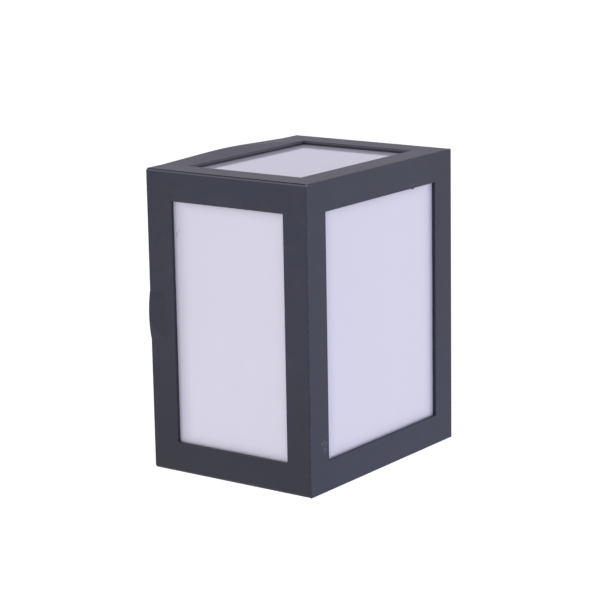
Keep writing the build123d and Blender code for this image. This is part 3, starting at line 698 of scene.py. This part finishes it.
paint(makeBoardFinish(lightBoard), "led_board")

driverBoard = {
    "mask": (0.020, 0.130, 0.048, 1.0),
    "track": (0.040, 0.210, 0.080, 1.0),
    "joint": (0.55, 0.55, 0.54, 1.0),
    "mesh": 190.0,
    "joints": 330.0,
    "glassWeave": 9000.0,
    "flat": (1.0, 0.0, 1.0),
}


def makeDriverBoard(plan):
    recipe = newMaterial("driverBoard", {"IOR": 1.52})
    place = recipe.stretched(plan["flat"])
    route = recipe.cells(plan["mesh"], "F1", "CHEBYCHEV", place)
    track = abs(route - 0.3).eased(0.09, 0.06)
    joint = recipe.cells(plan["joints"], "F1", "EUCLIDEAN", place).eased(0.18, 0.12)
    across = (recipe.x * plan["glassWeave"]).maths("SINE")
    weave = across * (recipe.z * plan["glassWeave"]).maths("SINE") * 0.5 + 0.5
    tone = recipe.mixed(track, plan["mask"], plan["track"])
    recipe.feed("Base Color", recipe.mixed(joint, tone, plan["joint"]))
    recipe.feed("Metallic", joint * 0.9)
    recipe.feed("Roughness", weave * 0.05 + recipe.cloud(200.0) * 0.1 + 0.26)
    recipe.relief(track * 0.5 + joint + weave * 0.1, 0.5, 0.05 * mm)
    return recipe.owner


paint(makeDriverBoard(driverBoard), "driver_board")

transformerLook = {
    "core": (0.030, 0.028, 0.027, 1.0),
    "tape": (0.640, 0.430, 0.050, 1.0),
    "wire": (0.420, 0.160, 0.060, 1.0),
    "tapeRise": 5.2 * mm,  # half heights of the tape and of the winding under it
    "wireRise": 5.9 * mm,
    "turns": 16000.0,
}


def makeTransformer(plan):
    recipe = newMaterial("transformer", {"IOR": 1.5})
    low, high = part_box("driver_transformer")
    middle = (low.z + high.z) / 2
    rise = abs(recipe.z - middle)
    taped = rise.eased(plan["tapeRise"], plan["tapeRise"] - 0.2 * mm)
    bare = rise.eased(plan["wireRise"], plan["wireRise"] - 0.2 * mm) - taped  # shows beside the tape
    turns = (recipe.z * plan["turns"]).maths("SINE") * 0.5 + 0.5
    wrinkle = recipe.cloud(260.0, 3.0, 0.6, recipe.stretched((1.0, 1.0, 3.0)))
    pitted = recipe.cloud(900.0, 3.0, 0.6)
    tone = recipe.mixed(taped, plan["core"], plan["tape"])
    tone = recipe.mixed(bare * turns, tone, plan["wire"])
    # painted shade in the creases of the tape
    creaseShade = wrinkle.eased(0.5, 0.8) * 0.3
    recipe.feed("Base Color", recipe.mixed(creaseShade, tone, plan["core"]))
    recipe.feed("Roughness", 0.62 - taped * 0.25 + pitted * 0.1)
    recipe.relief(pitted * (1.0 - taped) + wrinkle * taped + bare * turns, 0.5, 0.08 * mm)
    return recipe.owner


paint(makeTransformer(transformerLook), "driver_transformer")

capacitorLook = {
    "sleeve": (0.018, 0.026, 0.075, 1.0),
    "stripe": (0.50, 0.52, 0.56, 1.0),
    "cap": (0.62, 0.63, 0.64, 1.0),
    "stripeWidth": 2.6 * mm,
    "stripeStart": (0.9 * mm, 1.1 * mm),
    "halfStep": 5.0 * mm,  # half the distance between two capacitors' stripes
    "stripeSide": (2.6 * mm, 2.9 * mm),
}


def makeCapacitor(plan):
    recipe = newMaterial("capacitor", {"IOR": 1.5})
    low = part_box("driver_capacitors")[0]
    top = (-1.0 * recipe.y).eased(-0.5 * mm - low.y, -0.2 * mm - low.y)
    bandZ = recipe.z.wrapped(0.0, plan["stripeWidth"] * 2.0).eased(*plan["stripeStart"])
    acrossX = abs(recipe.x.wrapped(-plan["halfStep"], plan["halfStep"]))
    stripe = bandZ * acrossX.eased(*plan["stripeSide"])
    shrink = recipe.cloud(350.0, 3.0, 0.6, recipe.stretched((1.0, 0.3, 1.0)))
    tone = recipe.mixed(stripe * 0.8, plan["sleeve"], plan["stripe"])
    recipe.feed("Base Color", recipe.mixed(top, tone, plan["cap"]))
    recipe.feed("Metallic", top)
    recipe.feed("Roughness", shrink * 0.14 + top * 0.08 + 0.2)
    recipe.relief(shrink, 0.3, 0.06 * mm)
    return recipe.owner


paint(makeCapacitor(capacitorLook), "driver_capacitors")
print("base and inner parts finished")


blackSteelPlan = {
    "tone": (0.040, 0.040, 0.043, 1.0), "other": (0.058, 0.056, 0.057, 1.0), "patches": 380.0,
    "grain": 2800.0, "rough": 0.36, "dust": 0.3, "dustTone": (0.20, 0.19, 0.18, 1.0), "depth": 0.015,
}
blackSteel = makePlainFinish("blackSteel", blackSteelPlan, metalLook)
paint(blackSteel, "retaining_screw_left", "retaining_screw_right")
retainingScrew = {  # an M4 countersunk screw with a hexagon socket
    "headRadius": 3.55 * mm,  # a little under its countersink
    "shankRadius": 2.0 * mm,
    "headHeight": 1.6 * mm,
    "length": 10.5 * mm,
    "pitch": 0.7 * mm,
    "threadDepth": 0.36 * mm,
    "socketRadius": 1.45 * mm,
    "socketDepth": 1.3 * mm,
    "socketPoint": 0.25 * mm,
    "rim": 0.1 * mm,
    "edgeBreak": 0.12 * mm,
    "neck": 0.6 * mm,  # plain shank between the head and the thread
    "tip": 0.5 * mm,
    "around": 48,
    "perTurn": 10,
}


def hexagonReach(angle, radius):  # how far a hexagon's side is from its middle at an angle
    return radius * math.cos(math.pi / 6) / math.cos((angle % (math.pi / 3)) - math.pi / 6)


def makeRetainingScrew(plan, side):
    nodeName = "retaining_screw_" + side
    low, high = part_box(nodeName)
    middle = Vector(((low.x + high.x) / 2, (low.y + high.y) / 2, low.z))
    angles = turnAngles(plan["around"])

    def ring(reach, height):
        return [middle + Vector((math.cos(a) * reach(a), math.sin(a) * reach(a), height)) for a in angles]

    def circle(radius):
        return lambda angle: radius

    def hexagon(scale):
        return lambda angle: hexagonReach(angle, plan["socketRadius"]) * scale

    rings = [
        ring(hexagon(0.25), plan["socketDepth"] + plan["socketPoint"]),
        ring(hexagon(1.0), plan["socketDepth"]),
        ring(hexagon(1.0), plan["edgeBreak"]),
        ring(hexagon(1.08), 0.0),
        ring(circle(plan["headRadius"] - plan["edgeBreak"]), 0.0),
        ring(circle(plan["headRadius"]), plan["rim"]),
        ring(circle(plan["shankRadius"] + 0.05 * mm), plan["headHeight"]),
    ]
    plainEnd = plan["headHeight"] + plan["neck"]
    step = plan["pitch"] / plan["perTurn"]
    count = int((plan["length"] - plan["tip"] - plainEnd) / step)
    core = plan["shankRadius"] - plan["threadDepth"]
    for i in range(count + 1):
        fade = min(1.0, i / plan["perTurn"], (count - i) / plan["perTurn"])

        def thread(angle, i=i, fade=fade):
            turn = (i / plan["perTurn"] - angle / (2.0 * math.pi)) % 1.0
            crest = max(0.0, min(1.0, 2.4 * abs(turn - 0.5) - 0.1))
            return core + plan["threadDepth"] * crest * fade

        rings.append(ring(thread, plainEnd + i * step))
    rings.append(ring(circle(core - 0.35 * mm), plan["length"]))
    mesh = bmesh.new()
    stitchRings(mesh, rings)
    name = "threaded_screw_" + side
    screw = finishPiece(name, mesh, blackSteel, side + "_retaining_screw")
    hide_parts(nodeName)


for side in ("left", "right"):
    makeRetainingScrew(retainingScrew, side)
print("retaining screws threaded")


chipParts = {
    "lensRadius": 1.08 * mm,
    "lensRise": 0.28 * mm,
    "lensDepth": 0.15 * mm,
    "phosphor": (0.78, 0.56, 0.10, 1.0),
    "phosphorPale": (0.84, 0.66, 0.20, 1.0),
    "solder": (0.62, 0.62, 0.63, 1.0),
    "columns": 3,
    "rows": 8,
    "chipWidth": 2.8 * mm,
    "chipHeight": 3.5 * mm,
    "lensRings": 6,
    "solderRings": 7,
    "around": 20,
    "solderHalf": 0.42,  # share of the chip's width
    "footLeast": 0.55,  # in mm, and a random part
    "footSpread": 0.2,
    "riseLeast": 0.35,
    "riseSpread": 0.12,
}
chipLow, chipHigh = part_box("led_chips")


def chipCentres(plan):
    stepX = (chipHigh.x - chipLow.x - plan["chipWidth"]) / (plan["columns"] - 1)
    stepZ = (chipHigh.z - chipLow.z - plan["chipHeight"]) / (plan["rows"] - 1)
    firstX = chipLow.x + plan["chipWidth"] / 2
    firstZ = chipLow.z + plan["chipHeight"] / 2
    return [
        (firstX + column * stepX, firstZ + row * stepZ)
        for column in range(plan["columns"]) for row in range(plan["rows"])
    ]


def makeLenses(plan):
    recipe = newMaterial("phosphor", {"IOR": 1.41, "Coat Weight": 0.6, "Coat Roughness": 0.08})
    grainy = recipe.cloud(4200.0, 3.0, 0.7)
    pale = grainy.eased(0.4, 0.65)
    recipe.feed("Base Color", recipe.mixed(pale, plan["phosphor"], plan["phosphorPale"]))
    recipe.feed("Roughness", grainy * 0.2 + 0.35)
    recipe.relief(grainy, 0.3, 0.02 * mm)
    mesh = bmesh.new()
    for x, z in chipCentres(plan):
        rings = []
        for k in range(plan["lensRings"]):
            tilt = k / (plan["lensRings"] - 0.5) * math.pi / 2
            radius = plan["lensRadius"] * math.cos(tilt)
            y = chipLow.y + plan["lensDepth"] - plan["lensRise"] * math.sin(tilt)
            rings.append([
                (x + radius * math.cos(a), y, z + radius * math.sin(a))
                for a in turnAngles(plan["around"])])
        stitchRings(mesh, rings)
    finishPiece("chip_lenses", mesh, recipe.owner, "wall_base", True)


def makeSolder(plan):
    recipe = newMaterial("solder", {"Metallic": 1.0})
    frosted = recipe.cloud(2600.0, 3.0, 0.6)
    dull = tuple(c * 0.82 for c in plan["solder"][:3]) + (1.0,)
    recipe.feed("Base Color", recipe.mixed(frosted, dull, plan["solder"]))
    recipe.feed("Roughness", frosted * 0.25 + 0.18)
    recipe.relief(frosted, 0.3, 0.02 * mm)
    random.seed(7)
    mesh = bmesh.new()
    half = plan["chipWidth"] * plan["solderHalf"]
    boardY = chipHigh.y
    for x, z in chipCentres(plan):
        for end in (-1, 1):  # a fillet of solder climbing each end of the chip
            rings = []
            foot = (plan["footLeast"] + random.random() * plan["footSpread"]) * mm
            rise = (plan["riseLeast"] + random.random() * plan["riseSpread"]) * mm
            start = z + end * plan["chipHeight"] / 2
            for k in range(plan["solderRings"]):
                along = k / (plan["solderRings"] - 1) * 2.0 - 1.0
                swell = math.sqrt(max(0.05, 1.0 - along ** 4))
                rings.append([
                    (x + along * half, boardY, start),
                    (x + along * half, boardY, start + end * foot * swell),
                    (x + along * half, boardY - rise * 0.3 * swell, start + end * foot * 0.45 * swell),
                    (x + along * half, boardY - rise * swell, start),
                ])
            stitchRings(mesh, rings)
    finishPiece("chip_solder", mesh, recipe.owner, "wall_base", True)


makeLenses(chipParts)
makeSolder(chipParts)

leadCollar = {
    "length": 5.0 * mm,
    "mouth": 1.75 * mm,
    "neck": 1.2 * mm,
    "bore": 1.02 * mm,
    "leadRadius": 1.0 * mm,
    "around": 28,
}


def makeCollar(plan, nodeName, colour):  # the plastic collar of a crimped wire end
    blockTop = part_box("terminal_block")[1].z
    sleeveLow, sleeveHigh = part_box("terminal_sleeves")
    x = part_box(nodeName)[1].x - plan["leadRadius"]
    y = (sleeveLow.y + sleeveHigh.y) / 2
    bore, neck, mouth = plan["bore"], plan["neck"], plan["mouth"]
    outline = (  # radius, and share of the length
        (bore, 0.0), (neck, 0.0), (neck + 0.1 * mm, 0.25),
        (mouth, 0.75), (mouth, 0.97), (mouth - 0.1 * mm, 1.0), (bore, 1.0),
    )
    mesh = bmesh.new()
    rings = []
    for radius, share in outline:
        z = blockTop + 0.1 * mm + share * plan["length"]
        rings.append([
            (x + radius * math.cos(a), y + radius * math.sin(a), z) for a in turnAngles(plan["around"])])
    stitchRings(mesh, rings + rings[:1], capped=False)
    bmesh.ops.remove_doubles(mesh, verts=mesh.verts, dist=1e-7)
    finishPiece(nodeName + "_collar", mesh, colour, "wall_base", True)


makeCollar(leadCollar, "live_lead", made["leadBrown"])
makeCollar(leadCollar, "neutral_lead", made["leadBlue"])
print("chips and leads detailed")


strayFibre = {  # a hair caught on the left side of the diffuser
    "from": (-26.4 * mm, 61.6 * mm),
    "to": (-23.8 * mm, 56.6 * mm),
    "bow": -0.6 * mm,
    "curl": 0.25 * mm,
    "radius": 0.10 * mm,
    "steps": 24,
    "around": 8,
    "tone": (0.11, 0.11, 0.15, 1.0),
    "other": (0.20, 0.20, 0.24, 1.0),
}


def makeFibre(plan):
    recipe = newMaterial("strayFibre", {"IOR": 1.45})
    band = recipe.cloud(900.0, 2.0)
    recipe.feed("Base Color", recipe.mixed(band, plan["tone"], plan["other"]))
    recipe.feed("Roughness", band * 0.2 + 0.4)
    recipe.relief(band, 0.2, 0.01 * mm)
    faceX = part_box("opal_diffuser")[0].x
    radius = plan["radius"]
    startY, startZ = plan["from"]
    endY, endZ = plan["to"]
    mesh = bmesh.new()
    rings = []
    for i in range(plan["steps"] + 1):
        share = i / plan["steps"]
        bend = math.sin(share * math.pi) * plan["bow"] + plan["curl"] * math.sin(share * 9.0)
        y = startY + (endY - startY) * share - bend
        z = startZ + (endZ - startZ) * share
        rings.append([
            (faceX - radius * (0.9 - math.cos(a)), y + radius * math.sin(a), z)
            for a in turnAngles(plan["around"])])
    stitchRings(mesh, rings)
    finishPiece("stray_fibre", mesh, recipe.owner, "lantern_cage", True)


makeFibre(strayFibre)
